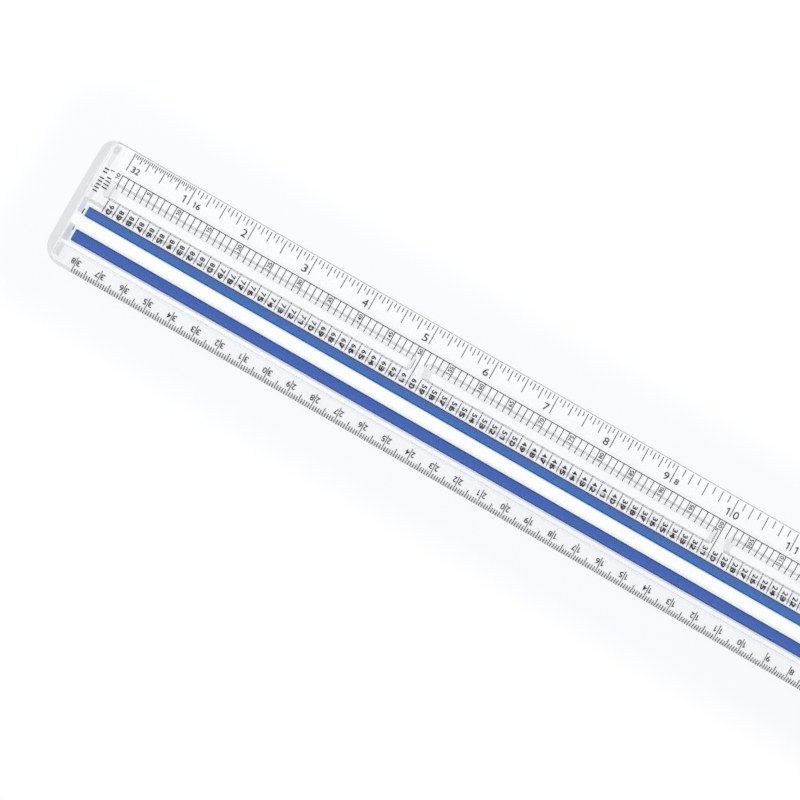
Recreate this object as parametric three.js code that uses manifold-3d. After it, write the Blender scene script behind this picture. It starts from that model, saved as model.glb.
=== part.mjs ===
// Flat magnifying scale ruler, 15 in / 38 cm: a clear blade with bevelled edges and three long slots,
// a lens bar seated on top, two tinted highlight strips and four printed scales on the underside.
//
// Millimetres. +X runs along the ruler towards the 15 in mark, +Y across it towards the inch edge,
// +Z up. The origin is the centre of the underside, so the ruler rests on z = 0.

import * as THREE from "three";
import { mergeVertices } from "three/addons/utils/BufferGeometryUtils.js";
import Module from "manifold-3d";

const INCH = 25.4;

// Blade
const LENGTH = 405.2;
const WIDTH = 50;
const THICKNESS = 3;
const EDGE_HEIGHT = 1; // upright part of the rim, before the bevels start
const END_BEVEL = 3.4; // plan width of the sloping face round the ends
const CM_BEVEL = 1.25; // plan width of the sloping face along the centimetre edge
const INCH_EDGE_BREAK = 0.4; // plan width of the small break along the inch edge
const INCH_BEVEL = 6.6; // plan width of the drawing bevel along the inch edge
const INCH_EDGE_THICKNESS = 1.2; // where that bevel would meet the edge
const CORNER_RADII = { inch: 5.2, cm: 7.6 };
const INNER_CORNER_RADII = { inch: 2.6, cm: 2 }; // the same corners, measured on the top face
const END_BOW_RADIUS = 1000; // the ends are slightly bowed

// Shallow groove across the top near each end. Distances are measured past the ends of the inch
// scale: the gentle inner wall starts first, and the steep outer wall comes last.
const GROOVE_DEPTH = 0.25;
const GROOVE_INNER_WALL = [5.4, 7];
const GROOVE_OUTER_WALL = [7.75, 7.95];
const GROOVE_SPAN = { inch: 1.6, cm: 2.6 }; // distances of its closed ends from the ruler's edges
const GROOVE_RUN_OUT = 0.6; // length of the slope at those ends

// Scales
const SCALE_INCHES = 15;
const SCALE_LENGTH = SCALE_INCHES * INCH;
const ZERO_X = -SCALE_LENGTH / 2; // zero of the inch scale
const CENTIMETRES = 38;

// Slots: one for each five inches, with a web between neighbours
const SLOT_COUNT = 3;
const SLOT_PITCH = 5 * INCH;
const SLOT_NEAR_EDGE = 16.2; // distances from the inch edge, on the underside
const SLOT_FAR_EDGE = 19.4;
const SLOT_FIRST_START = 2.1; // from the zero mark
const SLOT_NEXT_START = 6.4; // from the 5 in and 10 in marks
const SLOT_END_GAP = 2.9; // before the next 5 in mark
// The walls rise from an upright lip, at a gentle slope to a knee and then steeply to the top. The
// plan width covered by then is given for each wall; the near wall carries the tenths scale.
const SLOT_LIP = { z: 0.6, near: 0, far: 0, start: 0, finish: 0, radius: 0.9 };
const SLOT_KNEE = { z: 1.4, near: 1.6, far: 0.1, start: 1.5, finish: 0.9, radius: 1.3 };
const SLOT_RIM = { z: THICKNESS, near: 2.7, far: 0.9, start: 3.3, finish: 1.7, radius: 1.8 };
const SLOT_FIRST_LEAN = 1.6; // the first slot's start wall leans this many times further

// Lens bar
const LENS_AXIS = 32.75; // from the inch edge
const LENS_WIDTH = 19.1;
const LENS_LENGTH = 396.8;
const LENS_TOP = 6.6;
const LENS_FLANK = 0.1; // upright side above the blade, below the half ellipse
const LENS_END_SLOPE = 3.2; // plan length of the rounded end
const SEAT_DEPTH = 0.3;
const SEAT_CLEARANCE = 0.05;

// Highlight strips
const UPPER_STRIP = [2.75, 6.2]; // from the lens axis, towards the inch edge
const LOWER_STRIP = [2.3, 6.3]; // from the lens axis, towards the centimetre edge
const STRIP_OVERHANG = 4.8; // past both ends of the inch scale
const STRIP_THICKNESS = 0.12;
const STRIP_POCKET_DEPTH = 0.15;

// Print: ink on the roof of shallow pockets, so it doesn't rub off on the paper
const PRINT_POCKET_DEPTH = 0.1;
const INK_THICKNESS = 0.06;
const FINE_LINE = 0.2;
const BOLD_LINE = 0.3;
const POCKET_MARGIN = 3.5; // pocket length past both ends of a scale
const LEGEND_MARGIN = 8; // the same where a scale's fraction stands beside its zero

const ARC_STEPS = 8;

const wasm = await Module();
wasm.setup();

// Distance from the inch edge, as a Y coordinate
const fromInchEdge = (distance) => WIDTH / 2 - distance;

// ---------- solids ----------

function toManifold(geometry) {
  const bare = geometry.clone();
  bare.deleteAttribute("normal");
  bare.deleteAttribute("uv");
  const merged = mergeVertices(bare, 1e-4);
  return new wasm.Manifold(
    new wasm.Mesh({
      numProp: 3,
      vertProperties: merged.attributes.position.array,
      triVerts: new Uint32Array(merged.index.array),
    }),
  );
}

function toGeometry(solid) {
  const mesh = solid.getMesh();
  const geometry = new THREE.BufferGeometry();
  geometry.setAttribute("position", new THREE.BufferAttribute(mesh.vertProperties, 3));
  geometry.setIndex(new THREE.BufferAttribute(mesh.triVerts, 1));
  geometry.computeVertexNormals();
  return geometry;
}

// A closed solid through rings of equal point count, listed from the bottom up. Each ring runs
// counterclockwise seen from above. Both caps may be split along creases into flat patches.
function loft(rings, patches) {
  const count = rings[0].length;
  const positions = rings.flat().flatMap((p) => [p.x, p.y, p.z]);
  const index = [];
  for (let ring = 0; ring + 1 < rings.length; ring++) {
    for (let i = 0; i < count; i++) {
      const a = ring * count + i;
      const b = ring * count + ((i + 1) % count);
      index.push(a, b, b + count, a, b + count, a + count);
    }
  }
  const capPatch = (ring, members, faceUp) => {
    const contour = members.map((i) => new THREE.Vector2(rings[ring][i].x, rings[ring][i].y));
    for (const [a, b, c] of THREE.ShapeUtils.triangulateShape(contour, [])) {
      const [i, j, k] = [a, b, c].map((n) => ring * count + members[n]);
      index.push(...(faceUp ? [i, j, k] : [i, k, j]));
    }
  };
  for (const members of patches ?? [rings[0].map((_, i) => i)]) {
    capPatch(0, members, false);
    capPatch(rings.length - 1, members, true);
  }
  const geometry = new THREE.BufferGeometry();
  geometry.setAttribute("position", new THREE.Float32BufferAttribute(positions, 3));
  geometry.setIndex(index);
  return geometry;
}

function box(x0, x1, y0, y1, z0, z1) {
  const geometry = new THREE.BoxGeometry(x1 - x0, y1 - y0, z1 - z0);
  return geometry.translate((x0 + x1) / 2, (y0 + y1) / 2, (z0 + z1) / 2);
}

// ---------- blade ----------

const INCH_CREASE_Y = fromInchEdge(INCH_BEVEL); // where the drawing bevel leaves the flat top

function topHeight(y) {
  const climb = (fromInchEdge(0) - y) / INCH_BEVEL;
  return Math.min(THICKNESS, INCH_EDGE_THICKNESS + climb * (THICKNESS - INCH_EDGE_THICKNESS));
}

// Points up the right-hand end: a corner arc, the bowed end, a corner arc. `inset` shrinks the plan.
function endProfile(inset, radii) {
  const halfLength = LENGTH / 2 - inset.end;
  const bowCentre = halfLength - END_BOW_RADIUS;
  const corner = (edgeY, radius) => {
    const y = edgeY - Math.sign(edgeY) * radius;
    const x = bowCentre + Math.sqrt((END_BOW_RADIUS - radius) ** 2 - y ** 2);
    return { x, y, radius, tangent: Math.atan2(y, x - bowCentre) };
  };
  const low = corner(-WIDTH / 2 + inset.cm, radii.cm);
  const high = corner(WIDTH / 2 - inset.inch, radii.inch);
  const points = [];
  const addArc = (centre, from, to) => {
    for (let i = 0; i <= ARC_STEPS; i++) {
      const angle = from + ((to - from) * i) / ARC_STEPS;
      points.push(
        new THREE.Vector2(
          centre.x + centre.radius * Math.cos(angle),
          centre.y + centre.radius * Math.sin(angle),
        ),
      );
    }
  };
  addArc(low, -Math.PI / 2, low.tangent);
  const lowY = points.at(-1).y;
  const highY = high.y + high.radius * Math.sin(high.tangent);
  const creaseY = Math.min(INCH_CREASE_Y, lowY + 0.97 * (highY - lowY));
  for (const y of [lowY / 2, 0, creaseY / 2, creaseY]) {
    points.push(new THREE.Vector2(bowCentre + Math.sqrt(END_BOW_RADIUS ** 2 - y ** 2), y));
  }
  addArc(high, high.tangent, Math.PI / 2);
  return points;
}

function bladeRing(inset, radii, height) {
  const right = endProfile(inset, radii);
  const left = right.map((p) => new THREE.Vector2(-p.x, p.y)).reverse();
  return [...right, ...left].map((p) => new THREE.Vector3(p.x, p.y, height(p.y)));
}

function bladeBlank() {
  const full = { end: 0, inch: 0, cm: 0 };
  const top = { end: END_BEVEL, inch: INCH_EDGE_BREAK, cm: CM_BEVEL };
  const rings = [
    bladeRing(full, CORNER_RADII, () => 0),
    bladeRing(full, CORNER_RADII, () => EDGE_HEIGHT),
    bladeRing(top, INNER_CORNER_RADII, topHeight),
  ];
  const creaseRight = ARC_STEPS + 1 + 3; // the crease point on the right-hand end
  const last = rings[2].length - 1;
  const creaseLeft = last - creaseRight;
  const members = rings[2].map((_, i) => i);
  const bevelPatch = members.slice(creaseRight, creaseLeft + 1);
  const flatPatch = [...members.slice(0, creaseRight + 1), ...members.slice(creaseLeft)];
  return loft(rings, [bevelPatch, flatPatch]);
}

function roundedRectangle(x0, x1, y0, y1, radius, z) {
  const corners = [
    [x1 - radius, y0 + radius, -Math.PI / 2],
    [x1 - radius, y1 - radius, 0],
    [x0 + radius, y1 - radius, Math.PI / 2],
    [x0 + radius, y0 + radius, Math.PI],
  ];
  const steps = ARC_STEPS / 2;
  return corners.flatMap(([x, y, start]) =>
    Array.from({ length: steps + 1 }, (_, i) => {
      const angle = start + ((Math.PI / 2) * i) / steps;
      return new THREE.Vector3(x + radius * Math.cos(angle), y + radius * Math.sin(angle), z);
    }),
  );
}

function slotCutter(slot) {
  const mark = ZERO_X + slot * SLOT_PITCH;
  const start = mark + (slot === 0 ? SLOT_FIRST_START : SLOT_NEXT_START);
  const finish = mark + SLOT_PITCH - SLOT_END_GAP;
  const lean = slot === 0 ? SLOT_FIRST_LEAN : 1;
  const ring = (level, z = level.z) =>
    roundedRectangle(
      start - level.start * lean,
      finish + level.finish,
      fromInchEdge(SLOT_FAR_EDGE + level.far),
      fromInchEdge(SLOT_NEAR_EDGE - level.near),
      level.radius,
      z,
    );
  const below = ring(SLOT_LIP, -1);
  const above = ring(SLOT_RIM, THICKNESS + 1);
  return loft([below, ring(SLOT_LIP), ring(SLOT_KNEE), ring(SLOT_RIM), above]);
}

// The groove follows the top face, so it keeps its depth where the drawing bevel falls away.
function grooveCutter(side) {
  const low = -WIDTH / 2 + GROOVE_SPAN.cm;
  const high = WIDTH / 2 - GROOVE_SPAN.inch;
  const ring = (inner, outer, runOut, rise) => {
    const reach = [inner, outer].map((past) => side * (SCALE_LENGTH / 2 + past));
    const [x0, x1] = reach.sort((a, b) => a - b);
    const [y0, y1] = [low + runOut, high - runOut];
    const corners = [
      [x0, y0],
      [x1, y0],
      [x1, INCH_CREASE_Y],
      [x1, y1],
      [x0, y1],
      [x0, INCH_CREASE_Y],
    ];
    return corners.map(([x, y]) => new THREE.Vector3(x, y, topHeight(y) + rise));
  };
  const [innerTop, innerFoot] = GROOVE_INNER_WALL;
  const [outerFoot, outerTop] = GROOVE_OUTER_WALL;
  const floor = ring(innerFoot, outerFoot, GROOVE_RUN_OUT, -GROOVE_DEPTH);
  const mouth = ring(innerTop, outerTop, 0, 0);
  const above = ring(innerTop, outerTop, 0, 1);
  const flat = [0, 1, 2, 5];
  const bevelled = [5, 2, 3, 4];
  return loft([floor, mouth, above], [flat, bevelled]);
}

function seatCutter() {
  const half = LENS_WIDTH / 2 + SEAT_CLEARANCE;
  const halfLength = LENS_LENGTH / 2 + SEAT_CLEARANCE;
  const y = fromInchEdge(LENS_AXIS);
  return box(-halfLength, halfLength, y - half, y + half, THICKNESS - SEAT_DEPTH, THICKNESS + 1);
}

function stripSpan(side) {
  const [inner, outer] = side > 0 ? UPPER_STRIP : LOWER_STRIP;
  const edges = [inner, outer].map((distance) => fromInchEdge(LENS_AXIS) + side * distance);
  return { y0: Math.min(...edges), y1: Math.max(...edges) };
}

const STRIP_HALF_LENGTH = SCALE_LENGTH / 2 + STRIP_OVERHANG;

function stripPocket(side) {
  const { y0, y1 } = stripSpan(side);
  return box(-STRIP_HALF_LENGTH, STRIP_HALF_LENGTH, y0, y1, -1, STRIP_POCKET_DEPTH);
}

// ---------- printed scales ----------

// A mark's order is the coarsest division it falls on: `parts` lists divisions, coarsest first.
const orderOf = (n, finest, parts) => parts.findIndex((count) => (n * count) % finest === 0);

// Marks of the inch scale reach less far the finer they are, and the fine ones stop at 1 and 9 in.
const INCH_PARTS = [1, 2, 4, 8, 16, 32];
const INCH_REACH = [7, 5.35, 4.25, 2.85, 1.85, 1.25];
const finestPartAt = (inches) => (inches < 1 ? 32 : inches < 9 ? 16 : 8);

function inchMarks() {
  const marks = [];
  for (let n = 0; n <= SCALE_INCHES * 32; n++) {
    const order = orderOf(n, 32, INCH_PARTS);
    if (INCH_PARTS[order] > finestPartAt(n / 32)) continue;
    marks.push({ x: ZERO_X + (n * INCH) / 32, length: INCH_REACH[order] });
  }
  return marks;
}

// At a web the mark of the tenths scale runs on across it to the line-count scale.
function tenthMarks() {
  return Array.from({ length: SCALE_INCHES * 10 + 1 }, (_, n) => {
    const onWeb = n % 50 === 0 && n > 0 && n < SCALE_INCHES * 10;
    return { x: ZERO_X + (n * INCH) / 10, length: onWeb ? 10.3 : 5.9 };
  });
}

function lineCountMarks() {
  return Array.from({ length: SCALE_INCHES * 6 + 1 }, (_, n) => ({
    x: ZERO_X + (n * INCH) / 6,
    length: 5.55,
  }));
}

function centimetreMarks() {
  const reach = [5.8, 2.8, 1.6]; // whole and half centimetres, millimetres
  return Array.from({ length: CENTIMETRES * 10 + 1 }, (_, n) => ({
    x: ZERO_X + SCALE_LENGTH - n,
    length: reach[orderOf(n, 10, [1, 2, 10])],
  }));
}

// `line` is where the marks start and `step` the way they run; `pocket` is the band under them.
// All are measured from the inch edge.
const SCALES = {
  inch: { line: 0.85, step: -1, pocket: [0.6, 8.7], width: FINE_LINE, marks: inchMarks() },
  tenths: { line: 10.1, step: -1, pocket: [9.7, 20.3], width: FINE_LINE, marks: tenthMarks() },
  lineCount: {
    line: 20.5,
    step: -1,
    pocket: [20.3, 26.25],
    width: FINE_LINE,
    marks: lineCountMarks(),
  },
  centimetre: {
    line: 49.65,
    step: 1,
    pocket: [43.2, 49.8],
    width: BOLD_LINE,
    marks: centimetreMarks(),
  },
};

function printPocket(name) {
  const hasLegend = name === "tenths" || name === "lineCount";
  const half = SCALE_LENGTH / 2 + (hasLegend ? LEGEND_MARGIN : POCKET_MARGIN);
  const [near, far] = SCALES[name].pocket;
  return box(-half, half, fromInchEdge(far), fromInchEdge(near), -1, PRINT_POCKET_DEPTH);
}

// A comb: one line along the scale with a tooth for each mark.
function scalePrint({ line, step, width, marks }) {
  const sorted = [...marks].sort((a, b) => a.x - b.x);
  const root = fromInchEdge(line);
  const spine = root + step * width;
  const first = sorted[0].x - width / 2;
  const last = sorted.at(-1).x + width / 2;
  const shape = new THREE.Shape();
  shape.moveTo(last, root);
  shape.lineTo(first, root);
  sorted.forEach(({ x, length }, n) => {
    if (n > 0) shape.lineTo(x - width / 2, spine);
    shape.lineTo(x - width / 2, root + step * length);
    shape.lineTo(x + width / 2, root + step * length);
    if (n < sorted.length - 1) shape.lineTo(x + width / 2, spine);
  });
  const geometry = new THREE.ExtrudeGeometry(shape, {
    depth: INK_THICKNESS,
    bevelEnabled: false,
  });
  return geometry.translate(0, 0, PRINT_POCKET_DEPTH - INK_THICKNESS);
}

// ---------- lens bar ----------

const LENS_SPRING = THICKNESS + LENS_FLANK; // where the curved faces of the bar start
const LENS_RISE = LENS_TOP - LENS_SPRING;

// Points along a quarter or half ellipse, from angle `from` to `to`
function ellipse(halfWidth, from, to, steps) {
  return Array.from({ length: steps + 1 }, (_, i) => {
    const angle = from + ((to - from) * i) / steps;
    const height = LENS_SPRING + LENS_RISE * Math.sin(angle);
    return new THREE.Vector2(halfWidth * Math.cos(angle), height);
  });
}

function lensCrossBar() {
  const base = THICKNESS - SEAT_DEPTH;
  const half = LENS_WIDTH / 2;
  const shape = new THREE.Shape([
    new THREE.Vector2(-half, base),
    new THREE.Vector2(half, base),
    ...ellipse(half, 0, Math.PI, 4 * ARC_STEPS),
  ]);
  const geometry = new THREE.ExtrudeGeometry(shape, { depth: LENGTH, bevelEnabled: false });
  geometry.translate(0, 0, -LENGTH / 2);
  geometry.rotateX(Math.PI / 2).rotateZ(Math.PI / 2);
  return geometry.translate(0, fromInchEdge(LENS_AXIS), 0);
}

// Side view of the bar, with its rounded ends, extruded across the ruler.
function lensSideView() {
  const base = THICKNESS - SEAT_DEPTH;
  const half = LENS_LENGTH / 2;
  const right = ellipse(LENS_END_SLOPE, 0, Math.PI / 2, ARC_STEPS).map(
    (p) => new THREE.Vector2(half - LENS_END_SLOPE + p.x, p.y),
  );
  const left = right.map((p) => new THREE.Vector2(-p.x, p.y)).reverse();
  const shape = new THREE.Shape([
    new THREE.Vector2(-half, base),
    new THREE.Vector2(half, base),
    ...right,
    ...left,
  ]);
  const geometry = new THREE.ExtrudeGeometry(shape, { depth: 2 * WIDTH, bevelEnabled: false });
  return geometry.translate(0, 0, -WIDTH).rotateX(Math.PI / 2);
}

// ---------- assembly ----------

const clearAcrylic = () =>
  new THREE.MeshStandardMaterial({
    color: 0xe9eef2,
    roughness: 0.05,
    metalness: 0,
    transparent: true,
    opacity: 0.35,
  });
const blackInk = () =>
  new THREE.MeshStandardMaterial({ color: 0x1c1c22, roughness: 0.6, metalness: 0 });
const blueFilm = (color) =>
  new THREE.MeshStandardMaterial({ color, roughness: 0.35, metalness: 0 });

function piece(name, geometry, material) {
  const mesh = new THREE.Mesh(geometry, material);
  mesh.name = name;
  return mesh;
}

function blade() {
  let solid = toManifold(bladeBlank());
  const cuts = [
    seatCutter(),
    grooveCutter(1),
    grooveCutter(-1),
    stripPocket(1),
    stripPocket(-1),
    ...Object.keys(SCALES).map(printPocket),
    ...Array.from({ length: SLOT_COUNT }, (_, slot) => slotCutter(slot)),
  ];
  for (const cut of cuts) solid = solid.subtract(toManifold(cut));
  return piece("blade", toGeometry(solid), clearAcrylic());
}

function magnifierBar() {
  const solid = toManifold(lensCrossBar()).intersect(toManifold(lensSideView()));
  return piece("magnifier_bar", toGeometry(solid), clearAcrylic());
}

function highlightStrip(name, side, color) {
  const { y0, y1 } = stripSpan(side);
  const low = STRIP_POCKET_DEPTH - STRIP_THICKNESS;
  const half = STRIP_HALF_LENGTH;
  return piece(name, box(-half, half, y0, y1, low, STRIP_POCKET_DEPTH), blueFilm(color));
}

const ruler = new THREE.Group();
ruler.add(
  blade(),
  magnifierBar(),
  highlightStrip("highlight_strip_upper", 1, 0x3f78c3),
  highlightStrip("highlight_strip_lower", -1, 0x4466b4),
  piece("inch_scale_print", scalePrint(SCALES.inch), blackInk()),
  piece("tenths_scale_print", scalePrint(SCALES.tenths), blackInk()),
  piece("line_count_print", scalePrint(SCALES.lineCount), blackInk()),
  piece("centimetre_scale_print", scalePrint(SCALES.centimetre), blackInk()),
);

export default ruler;
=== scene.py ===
import math

import bmesh
import bpy
from mathutils import Matrix, Vector


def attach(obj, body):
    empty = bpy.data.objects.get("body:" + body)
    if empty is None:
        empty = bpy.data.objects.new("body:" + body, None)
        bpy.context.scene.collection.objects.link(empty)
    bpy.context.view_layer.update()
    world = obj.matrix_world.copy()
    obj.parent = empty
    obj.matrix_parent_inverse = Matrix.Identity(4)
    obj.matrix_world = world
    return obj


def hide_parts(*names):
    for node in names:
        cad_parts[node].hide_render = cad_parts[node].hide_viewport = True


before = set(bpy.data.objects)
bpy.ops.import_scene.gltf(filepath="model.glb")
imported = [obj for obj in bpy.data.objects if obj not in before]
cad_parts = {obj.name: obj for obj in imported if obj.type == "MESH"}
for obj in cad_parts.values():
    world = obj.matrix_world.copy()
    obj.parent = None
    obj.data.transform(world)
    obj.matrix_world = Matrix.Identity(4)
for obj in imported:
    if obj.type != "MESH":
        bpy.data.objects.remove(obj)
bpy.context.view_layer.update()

# ------------------------------------------------------------------ sizes, in millimetres

MM = 0.001
INCH = 25.4

LENGTH = 405.2
WIDTH = 50.0
THICKNESS = 3.0
EDGE_HEIGHT = 1.0
CORNER_RADII = {"inch": 5.2, "cm": 7.6}
INNER_CORNER_RADII = {"inch": 2.6, "cm": 2.0}
END_BOW_RADIUS = 1000.0
FULL = {"end": 0.0, "inch": 0.0, "cm": 0.0}
TOP = {"end": 3.4, "inch": 0.4, "cm": 1.25}
INCH_BEVEL = 6.6
INCH_EDGE_THICKNESS = 1.2
EDGE_ROUND = 0.14
FOOT_CHAMFER = 0.08

SCALE_LENGTH = 15 * INCH
ZERO_X = -SCALE_LENGTH / 2
END_X = SCALE_LENGTH / 2

# Each slot's opening at the paper, how far that lies inside its multiples of five inches, and how
# far its walls lie back from the opening at three heights.
SLOT_NEAR, SLOT_FAR = 16.2, 19.4
SLOT_PITCH = 5 * INCH
FIRST_SLOT_START, SLOT_START, SLOT_FINISH = 2.1, 6.4, 2.9
LIP = {"z": 0.6, "near": 0.0, "far": 0.0, "start": 0.0, "finish": 0.0, "radius": 0.9}
KNEE = {"z": 1.4, "near": 1.6, "far": 0.1, "start": 1.5, "finish": 0.9, "radius": 1.3}
RIM = {"z": 3.0, "near": 2.7, "far": 0.9, "start": 3.3, "finish": 1.7, "radius": 1.8}
# The first slot's near end leans more; every cutter goes on beyond the top face by the flare.
FIRST_LEAN = 1.6
FLARE = 1.0
# Where the bands of painted shade and highlight across the end wall of the first slot run.
SLOT_BAND = (WIDTH / 2 - 21.0, WIDTH / 2 - 13.0)
# The area that a slot's walls lie in, with a little to spare.
WALLS_BEFORE, WALLS_AFTER = 6.0, 3.0
WALLS_NEAR, WALLS_FAR, WALLS_MIDDLE = 13.1, 20.6, 17.5

GROOVE_DEPTH = 0.25
GROOVE_INNER = (5.4, 7.0)
GROOVE_OUTER = (7.75, 7.95)
GROOVE_SPAN = {"inch": 1.6, "cm": 2.6}
GROOVE_RUN_OUT = 0.6

LENS_AXIS = 32.75
LENS_WIDTH = 19.1
LENS_LENGTH = 396.8
LENS_TOP = 6.6
LENS_SPRING = 3.1
LENS_END_SLOPE = 3.2
SEAT_Z = 2.7
SEAT_CLEARANCE = 0.05
BOND_GAP = 0.01

# Inner and outer edge of each film, from the lens bar's axis.
UPPER_STRIP = (2.75, 6.2)
LOWER_STRIP = (2.3, 6.3)
STRIP_HALF = SCALE_LENGTH / 2 + 4.8
STRIP_POCKET_DEPTH = 0.15
FILM_LOW, FILM_HIGH = 0.03, 0.14
FILM_END_GAP, FILM_SIDE_GAP = 0.06, 0.03
FILM_CORNER = 0.25

# Near side and far side of each print pocket, and how far it runs past the ends of the scales.
PRINT_POCKETS = ((0.6, 8.7, 3.5), (9.7, 26.25, 8.0), (43.2, 49.8, 3.5))
PRINT_POCKET_DEPTH = 0.1
INK_LOW, INK_HIGH = 0.04, 0.09
FINE, BOLD = 0.245, 0.29

# The line that each scale's marks start from, as a distance from the inch edge.
INCH_LINE, TENTHS_LINE, COUNT_LINE, CM_LINE = 0.85, 10.02, 20.5, 49.65
INCH_MARKS = {1: 7.0, 2: 5.35, 4: 4.25, 8: 2.85, 16: 1.85, 32: 1.25}
TENTH_MARK, WEB_MARK = 5.65, 10.38
COUNT_MARK = 5.55
CM_MARK, HALF_CM_MARK, MM_MARK = 5.8, 2.8, 1.6

# Height and width of the numbers.
INCH_DIGIT, DIVISION_DIGIT = (2.75, 2.0), (2.1, 1.5)
TENTHS_DIGIT, FRACTION_DIGIT = (1.5, 1.0), (1.45, 1.1)
COUNT_TENS_DIGIT, COUNT_ONES_DIGIT = (1.95, 1.35), (2.0, 1.5)
CM_DIGIT = (2.15, 1.4)

# Where the middle of the numbers lies, as a distance from the inch edge or the lens bar's axis.
INCH_DIGIT_LINE, DIVISION_DIGIT_LINE, CM_DIGIT_LINE = 6.38, 6.48, 45.83
TENTHS_DIGIT_LINE, COUNT_TENS_LINE, COUNT_ONES_OFF_AXIS = 11.25, 22.1, 7.52

# The rows of plain strokes that stand for type: where each row and each stroke lies.
STROKE_LENGTH, STROKE_WIDTH = 1.7, 0.4
LONG_ROW = (6.2, (10.9, 12.2, 14.6, 15.9, 17.2, 18.5, 19.8))
SHORT_ROW = (3.9, (13.4, 14.7, 16.0, 17.3))

CORNER_STEPS = 14
BOW_STEPS = 18
LENS_ROWS = 96
LENS_END_STEPS = 20
LENS_LONG_STEPS = 24

# ------------------------------------------------------------------ looks

# The narrow bevel bends light less, so that the millimetre marks stay unbroken across its crease.
ACRYLIC_IOR = 1.49
CM_BEVEL_IOR = 1.2
# A ray that has been bent or reflected more often than this passes straight out.
CAUGHT_DEPTH = 7

# Lines of painted shade along the lens bar: from, to and softness, measured from its axis, and the
# colour.
LENS_LINES = (
    (8.15, 10.0, 0.15, (0.75, 0.74, 0.745, 1)),
    (-1.95, -1.6, 0.2, (0.82, 0.83, 0.94, 1)),
    (-7.75, -7.4, 0.2, (0.66, 0.73, 0.82, 1)),
)
# Patches of painted reflection and shade in the lens bar's ends: from and to past the films' ends,
# from and to across, the colour.
LENS_END_PATCHES = (
    (0.75, 2.6, 3.2, 8.6, (0.74, 0.75, 0.78, 1)),
    (0.15, 2.6, -8.0, -1.6, (0.68, 0.69, 0.72, 1)),
    (0.1, 0.6, 3.1, 5.3, (0.06, 0.08, 0.09, 1)),
    (0.1, 0.5, -3.6, -2.4, (0.15, 0.17, 0.18, 1)),
)

# Colours of the upper and the lower film: darker edges, side near the inch scale, side away from
# it.
UPPER_FILM = ((0.02, 0.04, 0.13, 1), (0.034, 0.088, 0.35, 1), (0.026, 0.155, 0.445, 1))
LOWER_FILM = ((0.018, 0.034, 0.12, 1), (0.028, 0.098, 0.39, 1), (0.024, 0.09, 0.375, 1))
FILM_SPECKLE = (0.3, 0.4, 0.75, 1.0)

FLOOR_HALF = 6
FLOOR_Z = -0.00006
# Open paper; painted shade round the ruler; painted light under the inch side of the blade and
# under the lens bar; painted blue light beside the films.
OPEN_PAPER = (0.9, 0.9, 0.9, 1)
SHADED_PAPER = (0.836, 0.845, 0.872, 1)
PAPER_UNDER_INCHES = (0.885, 0.893, 0.92, 1)
PAPER_UNDER_LENS = (0.926, 0.943, 0.915, 1)
PAPER_BY_FILM = (0.74, 0.82, 0.95, 1)
FILM_LIGHT_REACH = 0.4
# Distances over which the shade round the ruler and the light under the lens bar fade out.
SHADE_FADE = (10.0, 32.0)
GATHERED_FADE = (3.6, 5.0)

# The surroundings as the camera sees them, as they light the scene and as the acrylic mirrors them.
BACKDROP = (0.99, 0.99, 0.995, 1)
ROOM_LIGHT = (1.02, 1.02, 1.02, 1)
MIRRORED_LOW, MIRRORED_ROUND = (0.66, 0.67, 0.7, 1), (1.0, 1.0, 1.0, 1)
MIRRORED_OVERHEAD = (0.45, 0.46, 0.48, 1)

SOFTBOX_PLACE, SOFTBOX_SIZE, SOFTBOX_WATTS = (-0.6, 1.1, 1.3), 1.2, 6.0

# The camera stands almost straight above; the ruler runs down to the right in its picture.
CAMERA_PLACE = (-0.0757, -0.02535, 0.73003)
CAMERA_BACK = (-0.01816, -0.02691, 0.99947)
CAMERA_DOWN = (0.4975, -0.8673, -0.0143)
CAMERA_LENS, CAMERA_SENSOR = 90, 36


def from_inch_edge(distance):
    return WIDTH / 2 - distance


CREASE_Y = from_inch_edge(INCH_BEVEL)
LENS_Y = from_inch_edge(LENS_AXIS)


# ------------------------------------------------------------------ mesh helpers

def new_object(name, mesh):
    piece = bpy.data.objects.new(name, mesh)
    bpy.context.scene.collection.objects.link(piece)
    return piece


def mesh_from(name, points, faces):
    mesh = bpy.data.meshes.new(name)
    mesh.from_pydata([tuple(p) for p in points], [], faces)
    mesh.update()
    return mesh


def loft(name, rings, patches=None):
    """A closed mesh through rings of equal point count, from the bottom up."""
    count = len(rings[0])
    points = [p for ring in rings for p in ring]
    faces = []
    for k in range(len(rings) - 1):
        for i in range(count):
            a = k * count + i
            b = k * count + (i + 1) % count
            faces.append((a, b, b + count, a + count))
    last = (len(rings) - 1) * count
    for patch in patches or [range(count)]:
        faces.append(tuple(reversed(patch)))
        faces.append(tuple(last + i for i in patch))
    return new_object(name, mesh_from(name, points, faces))


def box_piece(name, low, high):
    (x0, y0, z0), (x1, y1, z1) = low, high
    ring = [(x0, y0), (x1, y0), (x1, y1), (x0, y1)]
    return loft(name, [[(x, y, z) for x, y in ring] for z in (z0, z1)])


def subtract(target, cutters):
    for cutter in cutters:
        cut = target.modifiers.new("cut", "BOOLEAN")
        cut.operation = "DIFFERENCE"
        cut.solver = "EXACT"
        cut.object = cutter
    bake_modifiers(target)
    for cutter in cutters:
        bpy.data.objects.remove(cutter)


def bake_modifiers(piece):
    bpy.context.view_layer.update()
    depsgraph = bpy.context.evaluated_depsgraph_get()
    mesh = bpy.data.meshes.new_from_object(piece.evaluated_get(depsgraph))
    piece.modifiers.clear()
    piece.data = mesh


def shade(piece, angle):
    """Smooth shading that keeps edges sharper than the angle, with large faces kept flat."""
    for face in piece.data.polygons:
        face.use_smooth = True
    piece.data.set_sharp_from_angle(angle=math.radians(angle))
    weighted = piece.modifiers.new("weighted", "WEIGHTED_NORMAL")
    weighted.keep_sharp = True
    weighted.weight = 80


def to_metres(piece):
    piece.data.transform(Matrix.Scale(MM, 4))
    piece.data.update()


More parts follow.
